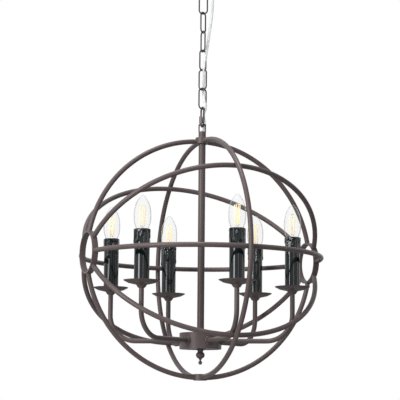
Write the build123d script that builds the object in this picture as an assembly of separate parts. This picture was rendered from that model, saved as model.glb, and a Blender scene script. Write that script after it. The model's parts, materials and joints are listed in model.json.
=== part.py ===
# Orb chandelier: a round-rod sphere with six candle arms, hung on a short chain from a ceiling fitting.
# Millimetres. The origin is on the ceiling, on the hanging axis. +Z is up and the fitting hangs towards -Z.
# +X runs through the orb's right-hand side band and -Y is the orb's front.
import os
from math import asin, atan2, cos, degrees, radians, sin, sqrt, tan

from build123d import *

# ---------------------------------------------------------------- driving dimensions
# the orb of round rods
ORB_R = 246.0            # centreline of the equator ring
ORB_DROP = 620.0         # ceiling down to the orb's centre
ROD_D = 10.0             # round rod of the orb's rings
TILTED_RING_ANGLE = 43.5  # the two slanted rings, up or down from the equator
UPPER_DROP = 4.0         # the upper side meridians are centred this far below the orb's centre
LOWER_DROP = 1.0         # the lower side meridians are centred this far above it
FRONT_MERIDIAN_RISE = 243.0  # height over the orb's centre where the front meridian meets its collar
WELD_GAP = 0.15          # air between two rods that cross and are tack welded

# pipe slices that the rods end on
BAND_D = 86.0
BAND_WALL = 3.5
BAND_W = 12.0
COLLAR_D = 28.0
COLLAR_H = 13.0
COLLAR_MID = 244.0       # height of each collar's middle over, or under, the orb's centre

# stem, hub and finial
STEM_D = 14.5
STEM_BORE = 10.2
PIPE_D = 9.8           # threaded lamp pipe through collar, stem, hub and finial
PIPE_BORE = 7.0
PIPE_ENTRY = 5.0         # how far the pipe screws into the coupler
FIT_GAP = 0.1            # radial clearance of a thread, or of a rod, in its hole
HUB_D = 86.0
HUB_H = 33.0
HUB_WALL = 2.0
HUB_TOP = -154.0         # hub's top face, from the orb's centre
HUB_PLATE_T = 2.0
HUB_PLATE_GAP = 0.3      # air round the bottom plate
HUB_PLATE_INSET = 0.6    # bottom plate's face above the hub's rim
HUB_NUT_AF = 17.0
HUB_NUT_H = 5.0
FINIAL_H = 32.0
FINIAL_SEAT_R = 8.0
FINIAL_NECK_R = 5.4
FINIAL_BALL_R = 9.0
FINIAL_PIN_R = 1.9
FINIAL_TIP_R = 4.0
FINIAL_THREAD_DEPTH = 11.0

# candle arms
ARM_COUNT = 6
ARM_FIRST = -90.0        # azimuth of the first arm
ARM_D = 10.0
ARM_BEND_R = 53.0
CANDLE_R = 188.0         # candle axis from the hanging axis
ARM_INNER_END = 28.0     # arm's threaded end, inside the hub, from the hanging axis
ARM_FLANGE_D = 16.5
ARM_FLANGE_T = 4.0
ARM_NUT_AF = 15.0
ARM_NUT_T = 4.0

# drip pans, sleeves and lampholders, measured from each pan's rim
PAN_RIM = -61.0          # pan rim, from the orb's centre
PAN_D = 72.0
PAN_DEPTH = 14.0
PAN_T = 1.2
PAN_FOOT_R = 7.0
PAN_STEP_R = 10.8
PAN_STEP_DEPTH = 8.2
PAN_KNEE_R = 26.5
PAN_KNEE_DEPTH = 4.6
PAN_LIP_RISE = 1.2
PAN_NUT_D = 13.6
PAN_NUT_T = 4.0
SLEEVE_D = 30.5
SLEEVE_BORE = 27.0
SLEEVE_TOP = 102.0       # sleeve's top over the pan's rim
SLEEVE_LIP_T = 2.4       # melted lip round the sleeve's mouth
WAX_RUNS = (             # angle round the sleeve, radius, length below the mouth, how far it stands out
    (4, 3.4, 24, 1.5),
    (38, 2.6, 13, 1.1),
    (74, 3.1, 39, 1.7),
    (118, 2.4, 17, 1.2),
    (150, 3.3, 29, 1.6),
    (196, 2.7, 11, 1.0),
    (229, 3.0, 34, 1.5),
    (272, 2.5, 19, 1.2),
    (311, 3.2, 27, 1.6),
    (338, 2.2, 12, 1.0),
)
POST_D = 10.0
POST_SOCKET_D = 13.4
POST_SOCKET_H = 14.0
POST_TOP = 58.0          # top of the lampholder's post over the pan's rim
HOLDER_D = 26.0
HOLDER_BASE = 50.0
HOLDER_TOP = 88.5
HOLDER_BORE = 14.0
HOLDER_BASE_T = 10.0

# candle bulbs
BULB_PROFILE = (         # radius and height over the pan's rim, from the neck to the tip
    (8.2, 92.0),
    (12.2, 102.0),
    (16.2, 113.0),
    (17.5, 125.0),
    (16.7, 140.0),
    (12.4, 155.0),
    (6.0, 165.4),
    (0.0, 170.0),
)
BULB_GLASS_T = 0.8
NECK_R, NECK_Z = BULB_PROFILE[0]
CAP_R = 6.92
CAP_BOTTOM_Z = 66.0
CONTACT_R = 3.2
CONTACT_H = 2.0
BULB_STEM_R = 3.2
BULB_STEM_TOP = 109.0
FILAMENT_COUNT = 4
FILAMENT_R = 0.9
FILAMENT_LENGTH = 40.0
FILAMENT_SPREAD_LOW = 4.0
FILAMENT_SPREAD_TOP = 5.6
BULB_ROD_R = 0.5

# coupler, bail, quick link and chain
HANG_TURN = -22.0        # the bail and chain hang turned this far about the axis
COUPLER_D = 15.5
COUPLER_H = 13.0
BAIL_W = 16.0
BAIL_H = 16.0
BAIL_T = 2.8
BAIL_DEPTH = 5.0
LINK_WIRE = 3.0
LINK_W = 20.0
LINK_L = 47.0
QUICK_WIRE = 3.5
QUICK_W = 20.0
QUICK_L = 44.5
QUICK_NUT_AF = 7.0
QUICK_NUT_L = 14.5
QUICK_NUT_RISE = 15.75   # middle of the nut over the quick link's lower crown centre
QUICK_GATE_GAP = 7.0     # the quick link's opening, which its nut closes
QUICK_GATE_RISE = 13.5
LINK_GAP = 0.3           # air between two wires that hang on each other
BAIL_GAP = 0.75          # air over the quick link's wire, under the bail's flat strap
LINK_TURNS = (0.0, 56.0, -61.0, 42.0, -28.0, 30.0)   # each link's plane, from the top link down
QUICK_TURN = -70.0
HOOK_TURN = 90.0

# clear flex, woven up through the chain
FLEX_D = 6.0
FLEX_GRIP_X = 20.5       # cord grip, to the side of the hook
FLEX_POINTS = (          # across, back and height over the orb's centre, in the chain's own turn
    (0.0, 0.0, 247.0),
    (0.0, 0.0, 263.0),
    (4.4, 8.0, 274.5),
    (4.9, 5.2, 285.0),
    (1.6, -0.4, 300.0),
    (8.0, -3.0, 314.0),
    (2.6, 1.4, 334.0),
    (0.9, 8.4, 355.5),
    (2.8, -1.0, 375.0),
    (1.6, -8.4, 394.5),
    (4.9, -4.4, 416.0),
    (8.2, -1.4, 437.0),
    (13.6, -0.8, 477.0),
    (18.2, -0.3, 511.0),
    (19.8, 0.0, 545.0),
    (FLEX_GRIP_X, 0.0, 575.0),
    (FLEX_GRIP_X, 0.0, 592.0),
)

# ceiling fitting
CANOPY_D = 110.0
CANOPY_H = 38.0
CANOPY_T = 1.2
CANOPY_EDGE_H = 24.0     # straight side of the canopy
CANOPY_FLAT_R = 30.0     # flat round the hook
HOOK_WIRE = 4.0
HOOK_W = 20.0
HOOK_COLLAR_D = 16.0
HOOK_COLLAR_H = 5.0
HOOK_SHANK_D = 6.0
HOOK_NUT_AF = 10.0
HOOK_NUT_H = 5.0
BRACKET_L = 96.0
BRACKET_W = 20.0
BRACKET_T = 2.0
BRACKET_EAR = 14.0       # bent ears that take the canopy's side screws
SCREW_SPACING = 60.0
SCREW_HOLE_D = 5.0
SCREW_SLOT_L = 10.0
SIDE_SCREW_D = 4.0
SIDE_SCREW_HEAD_D = 9.0
SIDE_SCREW_DROP = 7.0    # side screws below the ceiling
TERMINAL = (16.0, 22.0, 15.0)
GRIP_D = 12.0


# ---------------------------------------------------------------- helpers
def write(node, solids):
    """Write one node's solids to its own file."""
    solids = list(solids) if isinstance(solids, (list, tuple)) else [solids]
    pieces = [s for item in solids for s in item.solids()]
    shape = pieces[0] if len(pieces) == 1 else Compound(children=pieces)
    export_step(shape, f"parts/{node}.step")


def rod_along_arc(centre, start, normal, angle, diameter):
    """Round rod bent along a circle about centre, from start, through angle degrees about normal."""
    centre = Vector(*centre)
    start = Vector(*start)
    normal = Vector(*normal)
    section = Plane(origin=start, z_dir=normal.cross(start - centre)) * Circle(diameter / 2)
    return revolve(section, Axis(centre, normal), angle)


def turned(profile_points, z=0.0):
    """Solid of revolution about Z from (radius, height) points."""
    outline = Polyline(*[(r, 0, h) for r, h in profile_points], close=True)
    return Pos(0, 0, z) * revolve(make_face(outline), Axis.Z, 360)


def tube(outer, bore, low, high):
    """Round tube on Z between two heights."""
    upward = (Align.CENTER, Align.CENTER, Align.MIN)
    body = Pos(0, 0, low) * Cylinder(outer / 2, high - low, align=upward)
    cut = Pos(0, 0, low - 1) * Cylinder(bore / 2, high - low + 2, align=upward)
    return body - cut


def hex_nut(across_flats, height, bore, low):
    """Hexagon nut on Z with its lower face at low."""
    blank = extrude(RegularPolygon(across_flats / 2, 6, major_radius=False), height)
    return Pos(0, 0, low) * (blank - Cylinder(bore / 2, 3 * height))


def in_orb(shape):
    """Place a shape drawn about the orb's centre."""
    return Pos(0, 0, -ORB_DROP) * shape


def in_chain(shape, turn=0.0):
    """Place a shape drawn about the orb's centre, turned with the chain."""
    return Pos(0, 0, -ORB_DROP) * Rot(0, 0, HANG_TURN + turn) * shape


def arm_azimuths():
    return [ARM_FIRST + 360.0 / ARM_COUNT * k for k in range(ARM_COUNT)]


def at_candle(shape, azimuth):
    """Place a shape drawn about a pan rim's centre onto one arm."""
    place = Pos(CANDLE_R * cos(radians(azimuth)), CANDLE_R * sin(radians(azimuth)), PAN_RIM)
    return in_orb(place * Rot(0, 0, azimuth) * shape)


# ---------------------------------------------------------------- orb cage
def band_trim():
    """Everything inside both side bands' outer wall."""
    return Rot(0, 90, 0) * Cylinder(BAND_D / 2, 3 * ORB_R)


def collar_trim():
    """Everything inside both collars' outer wall."""
    return Cylinder(COLLAR_D / 2, 3 * ORB_R)


def front_meridian_circle():
    """Offset of the front meridian's centre towards the front, and its radius."""
    reach = ORB_R + ROD_D + WELD_GAP
    seat = COLLAR_D / 2
    offset = (reach**2 - FRONT_MERIDIAN_RISE**2 - seat**2) / (2 * (reach - seat))
    return offset, reach - offset


def tilted_ring_drop():
    """How far a tilted ring's centre is set back so that it just touches the front meridian."""
    offset, radius = front_meridian_circle()
    t = radians(TILTED_RING_ANGLE)
    along = offset * cos(t) + sqrt(radius**2 - (offset * sin(t))**2)
    return ORB_R - (along - ROD_D - WELD_GAP)


def side_ring(tilt, drop):
    """Half a ring from band to band. Its middle points to +Y turned up by tilt degrees about X."""
    start = degrees(asin((BAND_D / 2 + drop) / ORB_R)) - 1.5
    first = (ORB_R * cos(radians(start)), ORB_R * sin(radians(start)) - drop, 0)
    rod = rod_along_arc((0, -drop, 0), first, (0, 0, 1), 180 - 2 * start, ROD_D)
    return Rot(tilt, 0, 0) * rod - band_trim()


def side_meridian(side, up):
    """Quarter arc from a side band to a collar. side and up are +1 or -1."""
    drop = UPPER_DROP if up > 0 else LOWER_DROP
    start = degrees(asin((BAND_D / 2 + drop) / ORB_R)) - 1.5
    stop = 90 - degrees(asin(COLLAR_D / 2 / ORB_R)) + 1.0
    first = (side * ORB_R * cos(radians(start)), 0, up * (ORB_R * sin(radians(start)) - drop))
    rod = rod_along_arc((0, 0, -up * drop), first, (0, -side * up, 0), stop - start, ROD_D)
    return rod - band_trim() - collar_trim()


def front_meridian(side):
    """Half arc from collar to collar over the front (-1) or the back (+1) of the orb."""
    offset, radius = front_meridian_circle()
    half = degrees(asin(FRONT_MERIDIAN_RISE / radius)) + 1.5
    first = (0, side * (offset + radius * cos(radians(half))), -radius * sin(radians(half)))
    rod = rod_along_arc((0, side * offset, 0), first, (side, 0, 0), 2 * half, ROD_D)
    return rod - collar_trim()


def side_band(side):
    ring = Rot(0, 90, 0) * tube(BAND_D, BAND_D - 2 * BAND_WALL, -BAND_W / 2, BAND_W / 2)
    reach = sqrt(ORB_R**2 - (BAND_D / 2)**2)
    return Pos(side * reach, 0, 0) * ring


def collar(side):
    mid = side * COLLAR_MID
    ring = tube(COLLAR_D, PIPE_D + 2 * FIT_GAP, mid - COLLAR_H / 2, mid + COLLAR_H / 2)
    rims = ring.edges().filter_by(GeomType.CIRCLE).filter_by(lambda e: e.radius > COLLAR_D / 2 - 0.1)
    return chamfer(rims, 0.6)


def make_orb():
    write("equator_front", in_orb(side_ring(180, 0)))
    write("equator_rear", in_orb(side_ring(0, 0)))
    drop = tilted_ring_drop()
    tilts = {
        "slant_upper_front": 180 - TILTED_RING_ANGLE,
        "slant_lower_rear": -TILTED_RING_ANGLE,
        "slant_lower_front": 180 + TILTED_RING_ANGLE,
        "slant_upper_rear": TILTED_RING_ANGLE,
    }
    for name, tilt in tilts.items():
        write(name, in_orb(side_ring(tilt, drop)))
    for up, level in ((1, "upper"), (-1, "lower")):
        for side, hand in ((1, "right"), (-1, "left")):
            write(f"meridian_{level}_{hand}", in_orb(side_meridian(side, up)))
    write("meridian_front", in_orb(front_meridian(-1)))
    write("meridian_rear", in_orb(front_meridian(1)))
    write("side_band_right", in_orb(side_band(1)))
    write("side_band_left", in_orb(side_band(-1)))
    write("top_collar", in_orb(collar(1)))
    write("bottom_collar", in_orb(collar(-1)))


# ---------------------------------------------------------------- stem, hub and finial
def hub_shell():
    bottom = HUB_TOP - HUB_H
    outer = Pos(0, 0, bottom) * Cylinder(HUB_D / 2, HUB_H, align=(Align.CENTER, Align.CENTER, Align.MIN))
    rims = outer.edges().filter_by(GeomType.CIRCLE)
    outer = fillet(rims.sort_by(Axis.Z)[-1], 1.2)
    cavity = Pos(0, 0, bottom) * Cylinder(
        HUB_D / 2 - HUB_WALL, HUB_H - HUB_WALL, align=(Align.CENTER, Align.CENTER, Align.MIN)
    )
    shell = outer - cavity - Cylinder(PIPE_D / 2 + FIT_GAP, 3 * ORB_R)
    for azimuth in arm_azimuths():
        hole = Rot(0, 0, azimuth) * Pos(HUB_D / 2, 0, arm_level()) * Rot(0, 90, 0)
        shell -= hole * Cylinder(ARM_D / 2 + FIT_GAP, 6 * HUB_WALL)
    return shell


def arm_level():
    """Height of the arms' straight run, over the orb's centre."""
    return HUB_TOP - HUB_H / 2


def hub_plate():
    low = HUB_TOP - HUB_H + HUB_PLATE_INSET
    plate = tube(HUB_D - 2 * HUB_WALL - 2 * HUB_PLATE_GAP, PIPE_D + 2 * FIT_GAP, low, low + HUB_PLATE_T)
    return plate


def hub_ledge():
    """Ring inside the hub's rim that the bottom plate seats on."""
    low = HUB_TOP - HUB_H + HUB_PLATE_INSET + HUB_PLATE_T
    inner = HUB_D - 2 * HUB_WALL
    return tube(inner, inner - 6, low, low + 2)


def finial():
    """Turned finial: flared seat, neck, ball, pin and tip, with a threaded blind hole."""
    flare = (FINIAL_SEAT_R, 0, -1.5)
    neck = (FINIAL_NECK_R, 0, -6.5)
    waist = (FINIAL_NECK_R - 1, 0, -19.0)
    pin = (FINIAL_PIN_R, 0, -22.5)
    tip = FINIAL_TIP_R - FINIAL_H
    outline = Wire([
        Line((0, 0, 0), (FINIAL_SEAT_R, 0, 0)),
        Line((FINIAL_SEAT_R, 0, 0), flare),
        ThreePointArc(flare, (FINIAL_NECK_R + 0.7, 0, -3.8), neck),
        ThreePointArc(neck, (FINIAL_BALL_R, 0, -13.2), waist),
        Line(waist, pin),
        Line(pin, (FINIAL_PIN_R, 0, tip)),
        Line((FINIAL_PIN_R, 0, tip), (0, 0, tip)),
        Line((0, 0, tip), (0, 0, 0)),
    ])
    body = revolve(make_face(outline), Axis.Z, 360) + Pos(0, 0, tip) * Sphere(FINIAL_TIP_R)
    hole = Cylinder(PIPE_D / 2 + FIT_GAP, FINIAL_THREAD_DEPTH, align=(Align.CENTER, Align.CENTER, Align.MAX))
    return body - hole


def make_stem_and_hub():
    collar_low = COLLAR_MID - COLLAR_H / 2
    write("stem", in_orb(tube(STEM_D, STEM_BORE, HUB_TOP, collar_low)))
    write("hub_shell", in_orb(hub_shell() + hub_ledge()))
    write("hub_plate", in_orb(hub_plate()))
    plate_face = HUB_TOP - HUB_H + HUB_PLATE_INSET
    write("finial", in_orb(Pos(0, 0, plate_face) * finial()))
    pipe_low = plate_face - FINIAL_THREAD_DEPTH + 1
    pipe_top = COLLAR_MID + COLLAR_H / 2 + PIPE_ENTRY
    write("lamp_pipe", in_orb(tube(PIPE_D, PIPE_BORE, pipe_low, pipe_top)))
    bore = PIPE_D + 2 * FIT_GAP
    upper = hex_nut(HUB_NUT_AF, HUB_NUT_H, bore, HUB_TOP - HUB_WALL - HUB_NUT_H)
    lower = hex_nut(HUB_NUT_AF, HUB_NUT_H, bore, plate_face + HUB_PLATE_T)
    write("hub_nuts", [in_orb(upper), in_orb(lower)])


# ---------------------------------------------------------------- candle arms
def arm():
    """One arm along +X: threaded end in the hub, straight run, bend and upright."""
    level = arm_level()
    corner = CANDLE_R - ARM_BEND_R
    top = PAN_RIM - PAN_DEPTH + PAN_T + PAN_NUT_T + 6
    run = Pos(ARM_INNER_END, 0, level) * Rot(0, 90, 0) * Cylinder(
        ARM_D / 2, corner - ARM_INNER_END, align=(Align.CENTER, Align.CENTER, Align.MIN)
    )
    bend = rod_along_arc((corner, 0, level + ARM_BEND_R), (corner, 0, level), (0, -1, 0), 90, ARM_D)
    upright = Pos(CANDLE_R, 0, level + ARM_BEND_R) * Cylinder(
        ARM_D / 2, top - level - ARM_BEND_R, align=(Align.CENTER, Align.CENTER, Align.MIN)
    )
    return run + bend + upright


def arm_flange():
    """Lens-shaped flange round an arm's root, against the hub's side."""
    r = ARM_FLANGE_D / 2
    t = ARM_FLANGE_T
    hole = ARM_D / 2 + FIT_GAP
    outline = [
        Line((hole, 0, 0), (r - 1.2, 0, 0)),
        ThreePointArc((r - 1.2, 0, 0), (r, 0, t / 2), (r - 1.2, 0, t)),
        Line((r - 1.2, 0, t), (hole, 0, t)),
        Line((hole, 0, t), (hole, 0, 0)),
    ]
    ring = revolve(make_face(Wire(outline)), Axis.Z, 360)
    seat = HUB_D / 2 - ARM_FLANGE_D**2 / (8 * HUB_D / 2)
    placed = Pos(seat, 0, arm_level()) * Rot(0, 90, 0) * ring
    return placed - Pos(0, 0, arm_level()) * Cylinder(HUB_D / 2, 4 * ARM_FLANGE_D)


def arm_nut():
    """Hexagon nut on an arm's threaded end, inside the hub's wall."""
    inside = HUB_D / 2 - HUB_WALL
    flat = sqrt(inside**2 - (ARM_NUT_AF * 0.58)**2)
    nut = hex_nut(ARM_NUT_AF, ARM_NUT_T, ARM_D + 2 * FIT_GAP, -ARM_NUT_T)
    return Pos(flat, 0, arm_level()) * Rot(0, 90, 0) * nut


def make_arms():
    turns = [Rot(0, 0, azimuth) for azimuth in arm_azimuths()]
    write("arms", [in_orb(turn * arm()) for turn in turns])
    write("arm_flanges", [in_orb(turn * arm_flange()) for turn in turns])
    write("arm_nuts", [in_orb(turn * arm_nut()) for turn in turns])


# ---------------------------------------------------------------- candles
def drip_pan():
    """Spun pan: flat foot, steep cone, shallow cone and a lip turned up at the rim."""
    rim = PAN_D / 2
    outer = [
        (PAN_FOOT_R, -PAN_DEPTH),
        (PAN_STEP_R, -PAN_STEP_DEPTH),
        (PAN_KNEE_R, -PAN_KNEE_DEPTH),
        (rim - 0.6, 0),
        (rim, PAN_LIP_RISE),
    ]
    hole = ARM_D / 2 + FIT_GAP
    inner = [(rim - PAN_T, PAN_LIP_RISE)]
    inner += [(r, h + PAN_T) for r, h in reversed(outer[:-1])]
    return turned([(hole, -PAN_DEPTH)] + outer + inner + [(hole, -PAN_DEPTH + PAN_T)])


def pan_surface(radius):
    """Height of the pan's upper face at a radius between its foot and its step."""
    share = (radius - PAN_FOOT_R) / (PAN_STEP_R - PAN_FOOT_R)
    return -PAN_DEPTH + share * (PAN_DEPTH - PAN_STEP_DEPTH) + PAN_T


def sleeve():
    """Candle sleeve with a melted lip and wax runs down its outside."""
    seat = pan_surface(PAN_STEP_R) + (SLEEVE_D / 2 - PAN_STEP_R) * (PAN_STEP_DEPTH - PAN_KNEE_DEPTH) / (
        PAN_KNEE_R - PAN_STEP_R
    )
    body = tube(SLEEVE_D, SLEEVE_BORE, seat + 0.2, SLEEVE_TOP)
    lip = tube(SLEEVE_D + 2 * 0.9, SLEEVE_BORE, SLEEVE_TOP - SLEEVE_LIP_T - 2, SLEEVE_TOP)
    lip = fillet(lip.edges().filter_by(GeomType.CIRCLE).group_by(SortBy.RADIUS)[-1], 0.8)
    body += lip
    for angle, radius, length, stand_out in WAX_RUNS:
        low = SLEEVE_TOP - length
        run = Pos(0, 0, low) * Cylinder(radius, length - 3, align=(Align.CENTER, Align.CENTER, Align.MIN))
        run += Pos(0, 0, low) * Sphere(radius)
        body += Rot(0, 0, angle) * Pos(SLEEVE_D / 2 + stand_out - radius, 0, 0) * run
    return body - Pos(0, 0, SLEEVE_TOP / 2) * Cylinder(SLEEVE_BORE / 2, 2 * SLEEVE_TOP)


def pan_nut():
    low = -PAN_DEPTH + PAN_T
    return tube(PAN_NUT_D, ARM_D + 2 * FIT_GAP, low, low + PAN_NUT_T)


def lamp_post():
    """Threaded post from the arm's end up to the lampholder."""
    low = -PAN_DEPTH + PAN_T + PAN_NUT_T
    socket = tube(POST_SOCKET_D, ARM_D + 2 * FIT_GAP, low, low + POST_SOCKET_H)
    shoulder = low + 8
    upper = tube(POST_D, 6.0, shoulder, POST_TOP)
    plug = tube(ARM_D + 2 * FIT_GAP, 6.0, shoulder, low + POST_SOCKET_H)
    return socket + plug + upper


def lampholder():
    """Moulded lampholder: outer skirt, threaded mouth and a base on the post."""
    body = tube(HOLDER_D, HOLDER_BORE, HOLDER_BASE, HOLDER_TOP)
    floor = HOLDER_BASE + HOLDER_BASE_T
    body += tube(HOLDER_BORE, POST_D + 2 * FIT_GAP, HOLDER_BASE, floor)
    rims = body.edges().filter_by(GeomType.CIRCLE).filter_by(lambda e: e.radius > HOLDER_D / 2 - 0.1)
    return chamfer(rims, 0.8)


def bulb_glass():
    """Thin candle glass with a rounded tip, open at its neck."""
    outer = [(r, 0, h) for r, h in BULB_PROFILE]
    inner = [(max(r - BULB_GLASS_T, 0), 0, h) for r, h in BULB_PROFILE[:-1]]
    inner.append((0, 0, BULB_PROFILE[-1][1] - 1.5 * BULB_GLASS_T))
    slopes = ((0.3, 0, 1), (-1, 0, 0))
    outline = Wire([
        Spline(*outer, tangents=slopes),
        Line(outer[-1], inner[-1]),
        Spline(*inner, tangents=slopes),
        Line(inner[0], outer[0]),
    ])
    return revolve(make_face(outline), Axis.Z, 360)


def bulb_cap():
    """Screw cap with its contact, drawn as the thread's outer cylinder."""
    shell = turned([
        (0, CAP_BOTTOM_Z - CONTACT_H),
        (CONTACT_R, CAP_BOTTOM_Z - CONTACT_H),
        (CONTACT_R + 0.4, CAP_BOTTOM_Z),
        (CAP_R - 0.8, CAP_BOTTOM_Z + 0.6),
        (CAP_R, CAP_BOTTOM_Z + 2.5),
        (CAP_R, NECK_Z - 3.0),
        (NECK_R + 0.2, NECK_Z - 0.6),
        (NECK_R + 0.2, NECK_Z),
        (0, NECK_Z),
    ])
    return shell


def bulb_works():
    """Glass stem on the cap, its support rod, and the slanted filament strips with their top ring."""
    stem = turned([
        (0, NECK_Z),
        (BULB_STEM_R + 1.6, NECK_Z),
        (BULB_STEM_R, NECK_Z + 5),
        (BULB_STEM_R, BULB_STEM_TOP - 2),
        (BULB_STEM_R - 1, BULB_STEM_TOP),
        (0, BULB_STEM_TOP),
    ])
    low = BULB_STEM_TOP - 1
    high = low + FILAMENT_LENGTH
    works = stem + Pos(0, 0, low) * Cylinder(
        BULB_ROD_R, FILAMENT_LENGTH + 2, align=(Align.CENTER, Align.CENTER, Align.MIN)
    )
    for k in range(FILAMENT_COUNT):
        turn = Rot(0, 0, 360 / FILAMENT_COUNT * k + 45)
        lean = degrees(atan2(FILAMENT_SPREAD_TOP - FILAMENT_SPREAD_LOW, FILAMENT_LENGTH))
        strip = Cylinder(FILAMENT_R, FILAMENT_LENGTH, align=(Align.CENTER, Align.CENTER, Align.MIN))
        works += turn * Pos(FILAMENT_SPREAD_LOW, 0, low) * Rot(0, lean, 0) * strip
        spoke = Pos(0, 0, high) * Rot(0, 90, 0) * Cylinder(
            BULB_ROD_R, FILAMENT_SPREAD_TOP, align=(Align.CENTER, Align.CENTER, Align.MIN)
        )
        works += turn * spoke
    foot = Pos(0, 0, low - 0.6) * Cylinder(FILAMENT_SPREAD_LOW + 0.6, 1.2)
    return works + foot


def make_candles():
    places = arm_azimuths()
    write("drip_pans", [at_candle(drip_pan(), a) for a in places])
    write("pan_nuts", [at_candle(pan_nut(), a) for a in places])
    write("lamp_posts", [at_candle(lamp_post(), a) for a in places])
    write("lampholders", [at_candle(lampholder(), a) for a in places])
    write("candle_sleeves", [at_candle(sleeve(), a) for a in places])
    glass = bulb_glass()
    works = bulb_cap() + bulb_works()
    for number, azimuth in enumerate(places, 1):
        write(f"bulb_glass_{number}", at_candle(glass, azimuth))
        write(f"bulb_works_{number}", at_candle(works, azimuth))


# ---------------------------------------------------------------- coupler, bail, quick link and chain
def coupler_top():
    return COLLAR_MID + COLLAR_H / 2 + COUPLER_H


def strap_underside():
    return coupler_top() + BAIL_H - BAIL_T


def quick_low():
    """Height of the quick link's lower crown centre."""
    return strap_underside() - BAIL_GAP - QUICK_WIRE / 2


def quick_high():
    return quick_low() + QUICK_L - QUICK_WIRE


def link_low(index):
    """Height of a chain link's lower crown centre; index counts from the top link."""
    below = len(LINK_TURNS) - 1 - index
    lowest = quick_high() - (QUICK_WIRE + LINK_WIRE) / 2 - LINK_GAP
    return lowest + below * (LINK_L - LINK_WIRE - LINK_WIRE - LINK_GAP)


def hook_low():
    top = link_low(0) + LINK_L - LINK_WIRE
    return top - (HOOK_WIRE + LINK_WIRE) / 2 - LINK_GAP


def oval(low, length, width, wire):
    """Closed oval of round wire in the XZ plane, its lower crown's centreline at low."""
    r = (width - wire) / 2
    straight = length - width
    bottom = low + r
    parts = rod_along_arc((0, 0, bottom), (-r, 0, bottom), (0, -1, 0), 180, wire)
    parts += rod_along_arc((0, 0, bottom + straight), (r, 0, bottom + straight), (0, -1, 0), 180, wire)
    for side in (-1, 1):
        leg = Pos(side * r, 0, bottom) * Cylinder(
            wire / 2, straight, align=(Align.CENTER, Align.CENTER, Align.MIN)
        )
        parts += leg
    return parts


def quick_link():
    """Oval of thicker wire whose left leg is cut through, for the nut to close."""
    body = oval(quick_low(), QUICK_L, QUICK_W, QUICK_WIRE)
    gate = Pos(-(QUICK_W - QUICK_WIRE) / 2, 0, quick_low() + QUICK_GATE_RISE)
    return body - gate * Box(3 * QUICK_WIRE, 3 * QUICK_WIRE, QUICK_GATE_GAP)


def quick_nut():
    """Hexagon nut over the quick link's opening. It screws up its leg to free the opening."""
    nut = hex_nut(QUICK_NUT_AF, QUICK_NUT_L, QUICK_WIRE + 2 * FIT_GAP, -QUICK_NUT_L / 2)
    return Pos(-(QUICK_W - QUICK_WIRE) / 2, 0, quick_low() + QUICK_NUT_RISE) * nut


def bail():
    """Square-shouldered strap loop on the coupler's top."""
    low = coupler_top()
    outer = Pos(0, 0, low + BAIL_H / 2) * Box(BAIL_W, BAIL_DEPTH, BAIL_H)
    outer = fillet(outer.edges().filter_by(Axis.Y).group_by(Axis.Z)[-1], 2.2)
    window_h = BAIL_H - BAIL_T
    window = Pos(0, 0, low + window_h / 2 - 0.5) * Box(BAIL_W - 2 * BAIL_T, 2 * BAIL_DEPTH, window_h + 1)
    window = fillet(window.edges().filter_by(Axis.Y).group_by(Axis.Z)[-1], 1.2)
    return outer - window


def coupler():
    """Threaded sleeve on the pipe's top, with a clear way through for the flex."""
    low = COLLAR_MID + COLLAR_H / 2
    body = tube(COUPLER_D, PIPE_D + 2 * FIT_GAP, low, coupler_top())
    rims = body.edges().filter_by(GeomType.CIRCLE).filter_by(lambda e: e.radius > COUPLER_D / 2 - 0.1)
    return chamfer(rims, 0.5)


def make_hanging():
    write("hanging_loop", in_chain(coupler() + bail()))
    write("quick_link", in_chain(quick_link(), QUICK_TURN))
    write("quick_link_nut", in_chain(quick_nut(), QUICK_TURN))
    for index, turn in enumerate(LINK_TURNS):
        shape = oval(link_low(index), LINK_L, LINK_W, LINK_WIRE)
        write(f"chain_link_{index + 1}", in_chain(shape, turn))


# ---------------------------------------------------------------- flex
def flex():
    """Clear flex from the coupler, up behind the chain, out to its right and into the cord grip."""
    points = [Vector(*p) for p in FLEX_POINTS]
    radii = []
    for before, here, after in zip(points, points[1:], points[2:]):
        into = here - before
        out = after - here
        turn = into.get_angle(out)
        radii.append(0.45 * min(into.length, out.length) / tan(radians(turn) / 2))
    path = FilletPolyline(*points, radius=radii)
    section = Plane(origin=path @ 0, z_dir=path % 0) * Circle(FLEX_D / 2)
    return sweep(section, path=path)


# ---------------------------------------------------------------- ceiling fitting
def canopy_base():
    """Height of the canopy's lower flat, under the ceiling."""
    return -CANOPY_H


def canopy_shape(inset):
    """Solid of revolution of the canopy's outside, set in by a wall."""
    r = CANOPY_D / 2 - inset
    low = canopy_base() + inset
    edge = -CANOPY_EDGE_H
    flat = CANOPY_FLAT_R - inset / 2
    outline = [
        Line((0, 0, 1), (r, 0, 1)) if inset else Line((0, 0, 0), (r, 0, 0)),
        Line((r, 0, 1 if inset else 0), (r, 0, edge)),
        ThreePointArc((r, 0, edge), (flat + (r - flat) * 0.72, 0, low + (edge - low) * 0.32), (flat, 0, low)),
        Line((flat, 0, low), (0, 0, low)),
        Line((0, 0, low), (0, 0, 1 if inset else 0)),
    ]
    return revolve(make_face(Wire(outline)), Axis.Z, 360)


def grip_place():
    return Rot(0, 0, HANG_TURN) * Pos(FLEX_GRIP_X, 0, 0)


def side_screw_places():
    return [Rot(0, 0, angle) for angle in (0, 180)]


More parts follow.
